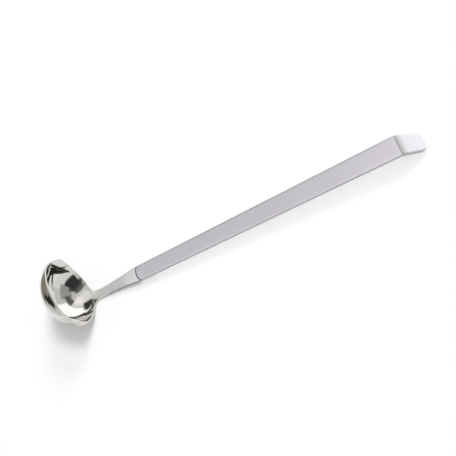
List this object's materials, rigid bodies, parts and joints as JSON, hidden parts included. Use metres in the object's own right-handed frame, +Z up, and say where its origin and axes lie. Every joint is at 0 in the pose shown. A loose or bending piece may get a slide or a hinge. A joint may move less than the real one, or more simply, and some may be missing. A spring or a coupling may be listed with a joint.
{
  "type": "sauce ladle",
  "caption": "Small stainless sauce ladle: oval mirror-polished bowl with a pour lip at each side, slim neck, and a long flat satin handle whose end is bent down to hang on a rail.",
  "frame": {"origin": "on the table, under the middle of the ladle's overall length", "axes": "+X along the handle from the bowl to the hook, +Y across the handle, +Z up from the table"},
  "size_m": [0.2788, 0.056, 0.0411],
  "materials": {
    "polished_steel": "mirror polished bowl, turning to satin along the neck",
    "satin_steel": "satin, brushed along the handle",
    "weld_metal": "dull, as welded"
  },
  "bodies": {
    "root": {"bowl_and_neck": "polished_steel", "handle_bar": "satin_steel", "tang_weld_1": "weld_metal", "tang_weld_2": "weld_metal", "tang_weld_3": "weld_metal"}
  },
  "joints": []
}
